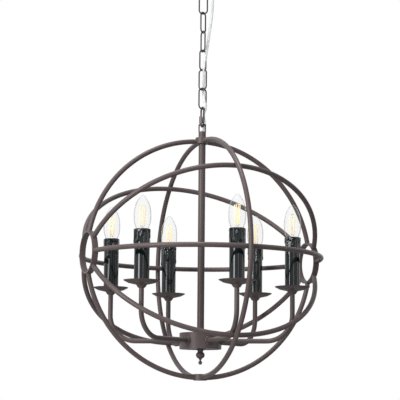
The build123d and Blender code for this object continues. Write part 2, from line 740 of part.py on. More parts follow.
def canopy():
    shell = canopy_shape(0) - canopy_shape(CANOPY_T)
    shell -= Pos(0, 0, canopy_base()) * Cylinder(HOOK_SHANK_D / 2 + FIT_GAP, 4 * CANOPY_T)
    shell -= grip_place() * Pos(0, 0, canopy_base()) * Cylinder(GRIP_D / 2 - 2 + FIT_GAP, 4 * CANOPY_T)
    for place in side_screw_places():
        hole = Pos(CANOPY_D / 2, 0, -SIDE_SCREW_DROP) * Rot(0, 90, 0)
        shell -= place * hole * Cylinder(SIDE_SCREW_D / 2 + FIT_GAP, 6 * CANOPY_T)
    return shell


def bracket():
    """Steel strip with bent-down ears, two slots for the ceiling screws and two tapped ear holes."""
    strip = Pos(0, 0, -BRACKET_T / 2) * Box(BRACKET_L, BRACKET_W, BRACKET_T)
    for side in (-1, 1):
        reach = side * (BRACKET_L - BRACKET_T) / 2
        strip += Pos(reach, 0, -BRACKET_EAR / 2) * Box(BRACKET_T, BRACKET_W, BRACKET_EAR)
        slot = Pos(side * SCREW_SPACING / 2, 0, -BRACKET_T) * extrude(
            SlotOverall(SCREW_SLOT_L, SCREW_HOLE_D), 3 * BRACKET_T, both=True
        )
        strip -= slot
        tap = Pos(side * BRACKET_L / 2, 0, -SIDE_SCREW_DROP) * Rot(0, 90, 0) * Cylinder(
            SIDE_SCREW_D / 2 + FIT_GAP, 4 * BRACKET_T
        )
        strip -= tap
    return strip


def side_screw():
    """Knurled thumb screw through the canopy's side into the bracket's ear."""
    reach = CANOPY_D / 2
    ear = BRACKET_L / 2 - BRACKET_T - 2
    shank = Pos(ear, 0, -SIDE_SCREW_DROP) * Rot(0, 90, 0) * Cylinder(
        SIDE_SCREW_D / 2, reach - ear + 1, align=(Align.CENTER, Align.CENTER, Align.MIN)
    )
    head = Cylinder(SIDE_SCREW_HEAD_D / 2, 5, align=(Align.CENTER, Align.CENTER, Align.MIN))
    head = chamfer(head.edges().filter_by(GeomType.CIRCLE), 0.7)
    head = Pos(reach, 0, -SIDE_SCREW_DROP) * Rot(0, 90, 0) * head
    curved = Cylinder(CANOPY_D / 2, 4 * SIDE_SCREW_HEAD_D)
    return shank + (head - curved)


def hook():
    """Closed ring under a collar, with a threaded shank through the canopy."""
    ring_r = (HOOK_W - HOOK_WIRE) / 2
    centre = hook_low() - ORB_DROP + ring_r
    ring = rod_along_arc((0, 0, centre), (ring_r, 0, centre), (0, -1, 0), 360, HOOK_WIRE)
    ring = Rot(0, 0, HANG_TURN + HOOK_TURN) * ring
    under = canopy_base()
    collar_low = under - HOOK_COLLAR_H
    collar_piece = Pos(0, 0, collar_low) * Cylinder(
        HOOK_COLLAR_D / 2, HOOK_COLLAR_H, align=(Align.CENTER, Align.CENTER, Align.MIN)
    )
    collar_piece = chamfer(collar_piece.edges().filter_by(GeomType.CIRCLE).sort_by(Axis.Z)[0], 1.5)
    neck_low = centre + ring_r - HOOK_WIRE / 4
    neck = Pos(0, 0, neck_low) * Cylinder(
        HOOK_WIRE * 0.7, collar_low - neck_low + 1, align=(Align.CENTER, Align.CENTER, Align.MIN)
    )
    shank = Pos(0, 0, under - 1) * Cylinder(
        HOOK_SHANK_D / 2, HOOK_NUT_H + CANOPY_T + 5, align=(Align.CENTER, Align.CENTER, Align.MIN)
    )
    return ring + neck + collar_piece + shank


def cord_grip():
    """Clamp bush in the canopy: shoulder below, threaded body and nut flange above."""
    base = canopy_base()
    bore = FLEX_D / 2 + 0.15
    r = GRIP_D / 2
    body = turned([
        (bore, -6), (r - 1.4, -6), (r, -4.6), (r, 0), (r - 2, 0),
        (r - 2, CANOPY_T + 1), (r + 1, CANOPY_T + 1), (r + 1, CANOPY_T + 4), (bore, CANOPY_T + 4),
    ])
    return grip_place() * Pos(0, 0, base) * body


def make_ceiling():
    write("ceiling_bracket", bracket())
    write("canopy", canopy())
    write("canopy_screws", [place * side_screw() for place in side_screw_places()])
    write("canopy_hook", hook())
    nut_low = canopy_base() + CANOPY_T
    write("canopy_hook_nut", hex_nut(HOOK_NUT_AF, HOOK_NUT_H, HOOK_SHANK_D + 2 * FIT_GAP, nut_low))
    write("cord_grip", cord_grip())
    width, depth, height = TERMINAL
    block = Pos(0, depth / 2 + 4, -height / 2 - BRACKET_T) * Box(width * 2, depth, height)
    write("terminal_block", block)


def main():
    os.makedirs("parts", exist_ok=True)
    make_orb()
    make_stem_and_hub()
    make_arms()
    make_candles()
    make_hanging()
    write("flex", in_chain(flex()))
    make_ceiling()


main()
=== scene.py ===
import json
from math import cos, exp, pi, radians, sin

import bpy
from mathutils import Matrix, Vector


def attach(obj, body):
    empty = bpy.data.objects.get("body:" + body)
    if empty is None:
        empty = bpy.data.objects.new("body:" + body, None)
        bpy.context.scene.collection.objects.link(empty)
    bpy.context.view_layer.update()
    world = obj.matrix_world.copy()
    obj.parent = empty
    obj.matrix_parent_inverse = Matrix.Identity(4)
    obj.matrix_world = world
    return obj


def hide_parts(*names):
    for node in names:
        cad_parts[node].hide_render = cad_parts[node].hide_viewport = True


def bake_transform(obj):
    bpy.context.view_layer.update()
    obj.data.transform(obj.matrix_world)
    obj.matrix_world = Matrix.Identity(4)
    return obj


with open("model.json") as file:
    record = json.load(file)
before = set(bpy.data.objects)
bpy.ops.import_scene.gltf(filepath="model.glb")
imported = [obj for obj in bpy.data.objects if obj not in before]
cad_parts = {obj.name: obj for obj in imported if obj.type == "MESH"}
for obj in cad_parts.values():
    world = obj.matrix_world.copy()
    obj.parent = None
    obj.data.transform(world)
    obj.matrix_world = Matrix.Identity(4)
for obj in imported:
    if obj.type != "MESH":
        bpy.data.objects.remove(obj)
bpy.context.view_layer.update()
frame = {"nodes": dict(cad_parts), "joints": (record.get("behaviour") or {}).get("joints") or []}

# ------------------------------------------------------------------ sizes shared with the CAD
# ORB_CENTRE_Z, CANDLE_CIRCLE, PAN_RIM_Z and FLEX_STEP are in metres, the other lengths in millimetres.
MM = 0.001
ORB_CENTRE_Z = -0.620
CHAIN_TURN = radians(-22.0)
CANDLE_COUNT = 6
FIRST_CANDLE = radians(-90.0)
CANDLE_CIRCLE = 0.188
PAN_RIM_Z = ORB_CENTRE_Z - 0.061
SLEEVE_R = 15.25
SLEEVE_BORE_R = 13.5
SLEEVE_TOP = 102.0
SLEEVE_FOOT = -5.7
FLEX_R = 3.0
CORE_R = 0.6
CORE_OFFSET = 1.25             # each core's line from the flex's own line
CORE_PITCH = 34                # one full twist of the two cores
SHEATH_SIDES = 24
CORE_SIDES = 10
FLEX_STEP = 0.0012             # in metres, between two rings of the flex
FLEX_ROUTE = (                 # across, back and up from the orb's centre, before the chain's turn
    (0.0, 0.0, 247.0),
    (0.0, 0.0, 263.0),
    (4.4, 8.0, 274.5),
    (4.9, 5.2, 285.0),
    (1.6, -0.4, 300.0),
    (8.0, -3.0, 314.0),
    (2.6, 1.4, 334.0),
    (0.9, 8.4, 355.5),
    (2.8, -1.0, 375.0),
    (1.6, -8.4, 394.5),
    (4.9, -4.4, 416.0),
    (8.2, -1.4, 437.0),
    (13.6, -0.8, 477.0),
    (18.2, -0.3, 511.0),
    (19.8, 0.0, 545.0),
    (20.5, 0.0, 575.0),
    (20.5, 0.0, 592.0),
)


# ------------------------------------------------------------------ camera
def aim_camera():
    """The photograph's view: from below and to the left of the orb's front, through a long lens."""
    distance = 3.266
    swing, rise = radians(21.81), radians(-6.0)
    pitch, yaw, roll = radians(8.09), radians(-0.06), radians(0.51)
    forward = Vector((sin(yaw) * cos(pitch), cos(yaw) * cos(pitch), sin(pitch)))
    level = Vector((cos(yaw), -sin(yaw), 0.0))
    upright = level.cross(forward)
    right = level * cos(roll) + upright * sin(roll)
    up = right.cross(forward)
    place = Vector((0.0, -distance * cos(rise), distance * sin(rise)))
    turn = Matrix.Rotation(-swing, 3, "Z")
    axes = [turn @ v for v in (right, up, -forward)]
    place = turn @ place + Vector((0.0, 0.0, ORB_CENTRE_Z))
    data = bpy.data.cameras.new("studio_camera")
    data.sensor_width = 36.0
    data.lens = 142.9
    data.clip_end = 50.0
    camera = bpy.data.objects.new("studio_camera", data)
    rotation = Matrix((axes[0], axes[1], axes[2])).transposed().to_4x4()
    camera.matrix_world = Matrix.Translation(place) @ rotation
    bpy.context.scene.collection.objects.link(camera)
    bpy.context.scene.camera = camera


aim_camera()


# ------------------------------------------------------------------ mesh helpers
ON_AXIS = 1e-7                 # a smaller radius, in metres, is a point on the axis


def mesh_piece(name, points, faces, material, crease=35.0):
    """A smooth-shaded mesh object with its sharp edges marked by angle."""
    data = bpy.data.meshes.new(name)
    data.from_pydata(points, [], faces)
    data.validate()
    data.shade_smooth()
    data.set_sharp_from_angle(angle=radians(crease))
    data.materials.append(material)
    piece = bpy.data.objects.new(name, data)
    bpy.context.scene.collection.objects.link(piece)
    return piece


def ring_stack(rings, closed_start=False, closed_end=False):
    """Points and faces of a skin through rings of equal point count. Ends can be capped."""
    count = len(rings[0])
    points = [p for ring in rings for p in ring]
    faces = []
    for i in range(len(rings) - 1):
        low, high = i * count, (i + 1) * count
        for k in range(count):
            nxt = (k + 1) % count
            faces.append((low + k, low + nxt, high + nxt, high + k))
    if closed_start:
        faces.append(tuple(reversed(range(count))))
    if closed_end:
        last = (len(rings) - 1) * count
        faces.append(tuple(range(last, last + count)))
    return points, faces


def lathe(profile, sides, centre):
    """Skin of revolution about an upright axis, from (radius, height) pairs in metres."""
    cx, cy = centre
    points, faces, rings = [], [], []
    for radius, height in profile:
        if radius < ON_AXIS:
            rings.append([len(points)])
            points.append((cx, cy, height))
            continue
        rings.append(list(range(len(points), len(points) + sides)))
        for k in range(sides):
            a = 2 * pi * k / sides
            points.append((cx + radius * cos(a), cy + radius * sin(a), height))
    for low, high in zip(rings, rings[1:]):
        for k in range(sides):
            nxt = (k + 1) % sides
            if len(low) == 1:
                faces.append((low[0], high[nxt], high[k]))
            elif len(high) == 1:
                faces.append((low[k], low[nxt], high[0]))
            else:
                faces.append((low[k], low[nxt], high[nxt], high[k]))
    return points, faces


def tube_rings(path, radius, sides):
    """Rings round a path, carried along it without twist."""
    rings = []
    normal = None
    for i, here in enumerate(path):
        before = path[max(i - 1, 0)]
        after = path[min(i + 1, len(path) - 1)]
        along = (after - before).normalized()
        if normal is None:
            normal = along.orthogonal().normalized()
        normal = (normal - along * normal.dot(along)).normalized()
        side = along.cross(normal)
        turns = [2 * pi * k / sides for k in range(sides)]
        rings.append([tuple(here + (normal * cos(a) + side * sin(a)) * radius) for a in turns])
    return rings


def merge_shapes(shapes):
    """One point list and face list from several."""
    points, faces = [], []
    for more_points, more_faces in shapes:
        start = len(points)
        points += more_points
        faces += [tuple(start + i for i in face) for face in more_faces]
    return points, faces


# ------------------------------------------------------------------ shader groups
def group_socket(group, name, kind, is_input, default=None):
    """Add a named input or output to a group."""
    side = "INPUT" if is_input else "OUTPUT"
    socket = group.interface.new_socket(name=name, in_out=side, socket_type=kind)
    if default is not None:
        socket.default_value = default


def powder_coat_group():
    """Fine orange-peel grain of sprayed powder, with soft cloudy changes of tone."""
    group = bpy.data.node_groups.new("powder_coat_grain", "ShaderNodeTree")
    group_socket(group, "Grain Size", "NodeSocketFloat", True, 2400.0)
    group_socket(group, "Cloud Size", "NodeSocketFloat", True, 18.0)
    group_socket(group, "Dark", "NodeSocketColor", True)
    group_socket(group, "Light", "NodeSocketColor", True)
    group_socket(group, "Color", "NodeSocketColor", False)
    group_socket(group, "Height", "NodeSocketFloat", False)
    group_socket(group, "Roughness", "NodeSocketFloat", False)
    add, wire = group.nodes.new, group.links.new
    inputs = add("NodeGroupInput")
    outputs = add("NodeGroupOutput")
    place = add("ShaderNodeTexCoord")
    grain = add("ShaderNodeTexNoise")
    grain.inputs["Detail"].default_value = 2.0
    cloud = add("ShaderNodeTexNoise")
    cloud.inputs["Detail"].default_value = 4.0
    cloud.inputs["Roughness"].default_value = 0.6
    mix = add("ShaderNodeMix")
    mix.data_type = "RGBA"
    rough = add("ShaderNodeMapRange")
    rough.inputs["To Min"].default_value = 0.33
    rough.inputs["To Max"].default_value = 0.43
    wire(place.outputs["Object"], grain.inputs["Vector"])
    wire(place.outputs["Object"], cloud.inputs["Vector"])
    wire(inputs.outputs["Grain Size"], grain.inputs["Scale"])
    wire(inputs.outputs["Cloud Size"], cloud.inputs["Scale"])
    wire(cloud.outputs["Fac"], mix.inputs["Factor"])
    wire(inputs.outputs["Dark"], mix.inputs["A"])
    wire(inputs.outputs["Light"], mix.inputs["B"])
    wire(mix.outputs["Result"], outputs.inputs["Color"])
    wire(cloud.outputs["Fac"], rough.inputs["Value"])
    wire(rough.outputs["Result"], outputs.inputs["Roughness"])
    wire(grain.outputs["Fac"], outputs.inputs["Height"])
    return group


def handling_marks_group():
    """Sparse fine scuffs and fingered patches, as a mask and as a roughness."""
    group = bpy.data.node_groups.new("handling_marks", "ShaderNodeTree")
    group_socket(group, "Patch Size", "NodeSocketFloat", True, 60.0)
    group_socket(group, "Smooth", "NodeSocketFloat", True, 0.1)
    group_socket(group, "Rubbed", "NodeSocketFloat", True, 0.3)
    group_socket(group, "Mask", "NodeSocketFloat", False)
    group_socket(group, "Roughness", "NodeSocketFloat", False)
    add, wire = group.nodes.new, group.links.new
    inputs = add("NodeGroupInput")
    outputs = add("NodeGroupOutput")
    place = add("ShaderNodeTexCoord")
    patch = add("ShaderNodeTexNoise")
    patch.inputs["Detail"].default_value = 6.0
    patch.inputs["Roughness"].default_value = 0.65
    ramp = add("ShaderNodeValToRGB")
    ramp.color_ramp.elements[0].position = 0.42
    ramp.color_ramp.elements[1].position = 0.72
    mix = add("ShaderNodeMix")
    wire(place.outputs["Object"], patch.inputs["Vector"])
    wire(inputs.outputs["Patch Size"], patch.inputs["Scale"])
    wire(patch.outputs["Fac"], ramp.inputs["Fac"])
    wire(ramp.outputs["Color"], mix.inputs["Factor"])
    wire(inputs.outputs["Smooth"], mix.inputs["A"])
    wire(inputs.outputs["Rubbed"], mix.inputs["B"])
    wire(ramp.outputs["Color"], outputs.inputs["Mask"])
    wire(mix.outputs["Result"], outputs.inputs["Roughness"])
    return group


POWDER_COAT = powder_coat_group()
HANDLING = handling_marks_group()


def start_material(name):
    """A new material, with its node and link makers and its shader."""
    material = bpy.data.materials.new(name)
    material.use_nodes = True
    tree = material.node_tree
    return material, tree.nodes.new, tree.links.new, tree.nodes["Principled BSDF"]


def place_group(add, group, **values):
    """Put a group into a material. An underscore in a value's name stands for a space."""
    node = add("ShaderNodeGroup")
    node.node_tree = group
    for socket, value in values.items():
        node.inputs[socket.replace("_", " ")].default_value = value
    return node


def powder_coated(name, dark, light, cloud=18.0, bump=0.05, sheen_level=0.22):
    """Sprayed metal: satin, faintly grained, its tone changing softly."""
    material, add, wire, shader = start_material(name)
    coat = place_group(add, POWDER_COAT, Cloud_Size=cloud, Dark=(*dark, 1), Light=(*light, 1))
    relief = add("ShaderNodeBump")
    relief.inputs["Strength"].default_value = bump
    relief.inputs["Distance"].default_value = 0.0003
    shader.inputs["Specular IOR Level"].default_value = sheen_level
    wire(coat.outputs["Color"], shader.inputs["Base Color"])
    wire(coat.outputs["Roughness"], shader.inputs["Roughness"])
    wire(coat.outputs["Height"], relief.inputs["Height"])
    wire(relief.outputs["Normal"], shader.inputs["Normal"])
    return material


def plated_metal(name, colour, smooth=0.22, rubbed=0.42):
    """Bare plated metal with dull and bright patches."""
    material, add, wire, shader = start_material(name)
    marks = place_group(add, HANDLING, Patch_Size=140.0, Smooth=smooth, Rubbed=rubbed)
    tone = add("ShaderNodeMix")
    tone.data_type = "RGBA"
    tone.inputs["A"].default_value = (*colour, 1)
    tone.inputs["B"].default_value = (*(0.78 * c for c in colour), 1)
    shader.inputs["Metallic"].default_value = 1.0
    wire(marks.outputs["Mask"], tone.inputs["Factor"])
    wire(tone.outputs["Result"], shader.inputs["Base Color"])
    wire(marks.outputs["Roughness"], shader.inputs["Roughness"])
    return material


def gloss_wax_black():
    """Moulded candle black, glossy, with soft ripples in the wax and lightly rubbed patches."""
    material, add, wire, shader = start_material("candle_gloss_black")
    marks = place_group(add, HANDLING, Patch_Size=45.0, Smooth=0.06, Rubbed=0.13)
    place = add("ShaderNodeTexCoord")
    ripple = add("ShaderNodeTexNoise")
    ripple.inputs["Scale"].default_value = 130.0
    ripple.inputs["Detail"].default_value = 1.5
    relief = add("ShaderNodeBump")
    relief.inputs["Strength"].default_value = 0.07
    relief.inputs["Distance"].default_value = 0.0006
    tone = add("ShaderNodeMix")
    tone.data_type = "RGBA"
    tone.inputs["A"].default_value = (0.004, 0.007, 0.008, 1)
    tone.inputs["B"].default_value = (0.008, 0.014, 0.015, 1)
    shader.inputs["Specular IOR Level"].default_value = 0.32
    wire(place.outputs["Object"], ripple.inputs["Vector"])
    wire(ripple.outputs["Fac"], relief.inputs["Height"])
    wire(relief.outputs["Normal"], shader.inputs["Normal"])
    wire(marks.outputs["Mask"], tone.inputs["Factor"])
    wire(tone.outputs["Result"], shader.inputs["Base Color"])
    wire(marks.outputs["Roughness"], shader.inputs["Roughness"])
    return material


def clear_glass():
    """Thin blown glass: clear face on, with a fine grey outline where it is seen edge on."""
    material, add, wire, shader = start_material("bulb_clear_glass")
    place = add("ShaderNodeTexCoord")
    wave = add("ShaderNodeTexNoise")
    wave.inputs["Scale"].default_value = 30.0
    wave.inputs["Detail"].default_value = 0.0
    rough = add("ShaderNodeMapRange")
    rough.inputs["To Min"].default_value = 0.02
    rough.inputs["To Max"].default_value = 0.07
    facing = add("ShaderNodeLayerWeight")
    facing.inputs["Blend"].default_value = 0.5
    edge = add("ShaderNodeMapRange")
    edge.interpolation_type = "SMOOTHSTEP"
    edge.inputs["From Min"].default_value = 0.45
    edge.inputs["From Max"].default_value = 1.0
    edge.inputs["To Min"].default_value = 0.035
    edge.inputs["To Max"].default_value = 0.62
    shader.inputs["Base Color"].default_value = (0.46, 0.49, 0.50, 1)
    shader.inputs["IOR"].default_value = 1.5
    wire(place.outputs["Object"], wave.inputs["Vector"])
    wire(wave.outputs["Fac"], rough.inputs["Value"])
    wire(rough.outputs["Result"], shader.inputs["Roughness"])
    wire(facing.outputs["Facing"], edge.inputs["Value"])
    wire(edge.outputs["Result"], shader.inputs["Alpha"])
    return material


def warm_filament():
    """Phosphor-coated strips, pale yellow and faintly banded, with a painted glow: a weak emission in
    their own colour brightens them beyond what the studio lamps give.
    """
    material, add, wire, shader = start_material("filament_yellow_painted_glow")
    place = add("ShaderNodeTexCoord")
    bands = add("ShaderNodeTexNoise")
    bands.inputs["Scale"].default_value = 900.0
    tone = add("ShaderNodeMix")
    tone.data_type = "RGBA"
    tone.inputs["A"].default_value = (0.98, 0.74, 0.36, 1)
    tone.inputs["B"].default_value = (1.0, 0.83, 0.50, 1)
    shader.inputs["Roughness"].default_value = 0.5
    # painted glow: the strips give off a weak light in their own colour
    shader.inputs["Emission Strength"].default_value = 0.45
    wire(place.outputs["Object"], bands.inputs["Vector"])
    wire(bands.outputs["Fac"], tone.inputs["Factor"])
    wire(tone.outputs["Result"], shader.inputs["Base Color"])
    wire(tone.outputs["Result"], shader.inputs["Emission Color"])
    return material


def clear_sheath():
    """Soft clear sheath of the flex: pale, faintly green, and duller in patches."""
    material, add, wire, shader = start_material("flex_clear_sheath")
    marks = place_group(add, HANDLING, Patch_Size=70.0, Smooth=0.22, Rubbed=0.38)
    tone = add("ShaderNodeMix")
    tone.data_type = "RGBA"
    tone.inputs["A"].default_value = (0.72, 0.77, 0.76, 1)
    tone.inputs["B"].default_value = (0.82, 0.85, 0.84, 1)
    shader.inputs["Alpha"].default_value = 0.42
    wire(marks.outputs["Mask"], tone.inputs["Factor"])
    wire(tone.outputs["Result"], shader.inputs["Base Color"])
    wire(marks.outputs["Roughness"], shader.inputs["Roughness"])
    return material


def moulded_plastic(name, colour):
    """Matte moulded plastic with a fine spark-etched grain."""
    material, add, wire, shader = start_material(name)
    grain = place_group(add, POWDER_COAT, Grain_Size=3200.0, Cloud_Size=30.0,
                        Dark=(*(0.93 * c for c in colour), 1), Light=(*colour, 1))
    relief = add("ShaderNodeBump")
    relief.inputs["Strength"].default_value = 0.08
    relief.inputs["Distance"].default_value = 0.0002
    wire(grain.outputs["Color"], shader.inputs["Base Color"])
    wire(grain.outputs["Roughness"], shader.inputs["Roughness"])
    wire(grain.outputs["Height"], relief.inputs["Height"])
    wire(relief.outputs["Normal"], shader.inputs["Normal"])
    return material


FRAME_COAT = powder_coated("frame_powder_coat", (0.078, 0.058, 0.058), (0.106, 0.083, 0.082))
PAN_COAT = powder_coated("pan_powder_coat", (0.072, 0.054, 0.053), (0.100, 0.079, 0.077),
                         cloud=30.0)
CHAIN_COAT = powder_coated("chain_dark_lacquer", (0.034, 0.027, 0.028), (0.060, 0.050, 0.050),
                           cloud=60.0)
NUT_STEEL = plated_metal("quick_link_nut_steel", (0.12, 0.105, 0.11), smooth=0.30, rubbed=0.45)
ZINC = plated_metal("zinc_plate", (0.62, 0.62, 0.60))
CAP_BRASS = plated_metal("cap_nickel_brass", (0.74, 0.64, 0.44), smooth=0.16, rubbed=0.3)
LEAD_WIRE = plated_metal("lead_wire_steel", (0.55, 0.53, 0.50))
CORE_TIN = plated_metal("flex_core_tinned", (0.84, 0.86, 0.84), smooth=0.5, rubbed=0.65)
CANDLE_BLACK = gloss_wax_black()
BULB_GLASS = clear_glass()
FILAMENT = warm_filament()
SHEATH = clear_sheath()
HOLDER_WHITE = moulded_plastic("holder_off_white", (0.70, 0.68, 0.62))
BASE_BLACK = moulded_plastic("cap_black_glass", (0.02, 0.02, 0.022))


# ------------------------------------------------------------------ CAD nodes that keep their shape
def finish_nodes():
    """Give every carried-over CAD node its finish."""
    finishes = {
        "drip_pans": PAN_COAT,
        "hub_plate": PAN_COAT,
        "quick_link": CHAIN_COAT,
        "quick_link_nut": NUT_STEEL,
        "lampholders": HOLDER_WHITE,
        "terminal_block": HOLDER_WHITE,
    }
    zinc_nodes = ("lamp_pipe", "hub_nuts", "arm_nuts", "pan_nuts", "lamp_posts",
                  "ceiling_bracket", "canopy_hook_nut")
    for name, node in frame["nodes"].items():
        material = finishes.get(name, FRAME_COAT)
        if name.startswith("chain_link"):
            material = CHAIN_COAT
        if name in zinc_nodes:
            material = ZINC
        if name.startswith("bulb_glass"):
            material = BULB_GLASS
        node.data.materials.clear()
        node.data.materials.append(material)
        node.data.shade_smooth()
        node.data.set_sharp_from_angle(angle=radians(32.0))


finish_nodes()


# ------------------------------------------------------------------ flex
def route_points():
    """The flex's line, read from a smooth spline through its route."""
    turn = Matrix.Rotation(CHAIN_TURN, 4, "Z")
    curve = bpy.data.curves.new("flex_route", "CURVE")
    curve.dimensions = "3D"
    curve.resolution_u = 12
    spline = curve.splines.new("NURBS")
    spline.points.add(len(FLEX_ROUTE) - 1)
    for point, (across, back, height) in zip(spline.points, FLEX_ROUTE):
        spot = turn @ Vector((across * MM, back * MM, height * MM + ORB_CENTRE_Z))
        point.co = (*spot, 1.0)
    spline.order_u = 3
    spline.use_endpoint_u = True
    line = bpy.data.objects.new("flex_route", curve)
    bpy.context.scene.collection.objects.link(line)
    sampled = bpy.data.meshes.new_from_object(line)
    points = [v.co.copy() for v in sampled.vertices]
    bpy.data.objects.remove(line)
    bpy.data.meshes.remove(sampled)
    return points


def even_steps(points, step):
    """The same line, resampled at an even step."""
    steps = [points[0].copy()]
    left = step
    for start, end in zip(points, points[1:]):
        gap = (end - start).length
        done = 0.0
        while gap - done >= left:
            done += left
            steps.append(start.lerp(end, done / gap))
            left = step
        left -= gap - done
    steps.append(points[-1].copy())
    return steps


def core_line(line, offset, phase, pitch):
    """A core's line, wound round the flex's own line."""
    result = []
    normal = None
    run = 0.0
    for i, here in enumerate(line):
        before = line[max(i - 1, 0)]
        after = line[min(i + 1, len(line) - 1)]
        along = (after - before).normalized()
        if i:
            run += (here - line[i - 1]).length
        if normal is None:
            normal = along.orthogonal().normalized()
        normal = (normal - along * normal.dot(along)).normalized()
        side = along.cross(normal)
        a = phase + 2 * pi * run / pitch
        result.append(here + (normal * cos(a) + side * sin(a)) * offset)
    return result


def make_flex():
    """Sheath and two cores, cut into lengths that each span one joint of the chain."""
    links = [f"link_{number}" for number in range(1, 7)]
    chain = ["ceiling_fitting", *links, "quick_link", "orb"]
    hinges = [joint for joint in frame["joints"] if joint["type"] == "hinge"]
    pivots = {joint["child"]: joint["pos_m"][2] for joint in hinges}
    heights = [pivots[body] for body in chain[1:]]
    above_all, below_all = 1.0, -1.0
    between = [(high + low) / 2 for high, low in zip(heights, heights[1:])]
    cuts = [above_all] + between + [below_all]
    line = even_steps(route_points(), FLEX_STEP)
    lines = {"sheath": line}
    finish = {"sheath": (SHEATH, FLEX_R * MM, SHEATH_SIDES)}
    for number in range(2):
        lines[f"core_{number + 1}"] = core_line(line, CORE_OFFSET * MM, pi * number, CORE_PITCH * MM)
        finish[f"core_{number + 1}"] = (CORE_TIN, CORE_R * MM, CORE_SIDES)
    for kind, points in lines.items():
        material, radius, sides = finish[kind]
        rings = tube_rings(points, radius, sides)
        for number, (upper, lower) in enumerate(zip(chain, chain[1:]), 1):
            top, bottom = cuts[number - 1], cuts[number]
            inside = [i for i, p in enumerate(line) if bottom <= p.z <= top]
            first, last = max(inside[0] - 1, 0), inside[-1]
            shape = ring_stack(rings[first:last + 1], first == 0, last == len(line) - 1)
            piece = mesh_piece(f"flex_{kind}_{number}", *shape, material)
            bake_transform(piece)
            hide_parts("flex")


make_flex()


# ------------------------------------------------------------------ candles
def candle_places():
    """Each candle's centre and azimuth."""
    places = []
    for k in range(CANDLE_COUNT):
        azimuth = FIRST_CANDLE + 2 * pi * k / CANDLE_COUNT
        places.append((CANDLE_CIRCLE * cos(azimuth), CANDLE_CIRCLE * sin(azimuth), azimuth))
    return places


SLEEVE_SIDES = 144
MOUTH_ROUND = 1.3              # how far the mouth's outer edge is rounded in
MOUTH_DEPTH = 1.6              # and how far down that reaches
WAX_RUNS = (             # angle in degrees, half width, length below the mouth, thickness, in mm
    (4, 3.4, 24, 1.5),
    (38, 2.6, 13, 1.1),
    (74, 3.1, 39, 1.7),
    (118, 2.4, 17, 1.2),
    (150, 3.3, 29, 1.6),
    (196, 2.7, 11, 1.0),
    (229, 3.0, 34, 1.5),
    (272, 2.5, 19, 1.2),
    (311, 3.2, 27, 1.6),
    (338, 2.2, 12, 1.0),
)


def wax_thickness(angle, depth):
    """Wax on the sleeve at an angle and a depth below its mouth, in mm."""
    edge = 6.0 + 1.6 * sin(3 * angle + 0.6) + 1.1 * sin(7 * angle)
    lip = 0.95 / (1 + exp((depth - edge) * 1.4))
    total = lip
    for centre, half_width, length, thick in WAX_RUNS:
        off = (angle - radians(centre) + pi) % (2 * pi) - pi
        across = abs(off) * SLEEVE_R / half_width
        swell = 1.0 + 0.35 * exp(-((depth - length + 2.5) / 3.0) ** 2)
        across /= swell ** 0.5
        if across >= 1.6:
            continue
        end = depth - length
        along = 1.0 if end < 0 else max(0.0, 1 - (end / (half_width * 0.9)) ** 2) ** 0.5
        bead = thick * swell * exp(-across * across * 1.9) * along
        total = max(total, bead) + 0.35 * min(total, bead)
    return total


def sleeve_shape(cx, cy, turn):
    """A candle sleeve: waxed outside, rounded mouth, plain bore."""
    sides = SLEEVE_SIDES
    height_over_all = SLEEVE_TOP - SLEEVE_FOOT
    depths = [0.0, 0.35, 0.9, 1.6] + [2.4 + 0.9 * k for k in range(46)]
    depths += [46.0, 52.0, 62.0, 76.0, 92.0, height_over_all - 0.5, height_over_all]
    rings = []
    inner = [(SLEEVE_BORE_R, SLEEVE_FOOT), (SLEEVE_BORE_R, 40.0), (SLEEVE_BORE_R, SLEEVE_TOP - 1.0),
             (SLEEVE_BORE_R + 0.25, SLEEVE_TOP - 0.3), (SLEEVE_BORE_R + 0.8, SLEEVE_TOP)]
    for radius, height in inner:
        rings.append([(radius, height)] * sides)
    for depth in depths:
        ring = []
        for k in range(sides):
            wax = wax_thickness(2 * pi * k / sides, depth)
            shoulder = MOUTH_ROUND * max(0.0, 1 - depth / MOUTH_DEPTH) ** 2
            sag = 0.25 * wax if depth < 0.5 else 0.0
            ring.append((SLEEVE_R + wax - shoulder, SLEEVE_TOP - depth - sag * 0.3))
        rings.append(ring)
    placed = []
    for ring in rings:
        spots = []
        for k, (r, h) in enumerate(ring):
            a = 2 * pi * k / sides + turn
            spots.append((cx + r * MM * cos(a), cy + r * MM * sin(a), PAN_RIM_Z + h * MM))
        placed.append(spots)
    count = len(placed)
    points = [p for ring in placed for p in ring]
    faces = []
    for i in range(count):
        low, high = i * sides, ((i + 1) % count) * sides
        for k in range(sides):
            nxt = (k + 1) % sides
            faces.append((low + k, high + k, high + nxt, low + nxt))
    return points, faces


def make_sleeves():
    """One waxed sleeve for each candle."""
    for number, (cx, cy, azimuth) in enumerate(candle_places(), 1):
        shape = sleeve_shape(cx, cy, azimuth)
        piece = mesh_piece(f"candle_sleeve_{number}", *shape, CANDLE_BLACK, crease=60.0)
        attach(piece, "orb")
        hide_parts("candle_sleeves")


make_sleeves()


# ------------------------------------------------------------------ bulbs
CAP_BOTTOM = 66.0
CAP_R = 6.9
NECK_Z = 92.0
NECK_R = 8.2
STEM_TOP = 109.0
FILAMENT_LOW, FILAMENT_HIGH = 108.0, 148.0
FILAMENT_R = 0.95
FILAMENT_SPREAD = (4.6, 5.8)   # from the bulb's axis, at the strips' feet and heads
LEAD_R = 0.22                  # wires from the stem to the strips
SPINE_R = 0.3                  # wire up the bulb's middle


def at_rim(profile):
    """Profile in millimetres over a pan's rim, as metres in the row frame."""
    return [(r * MM, PAN_RIM_Z + h * MM) for r, h in profile]


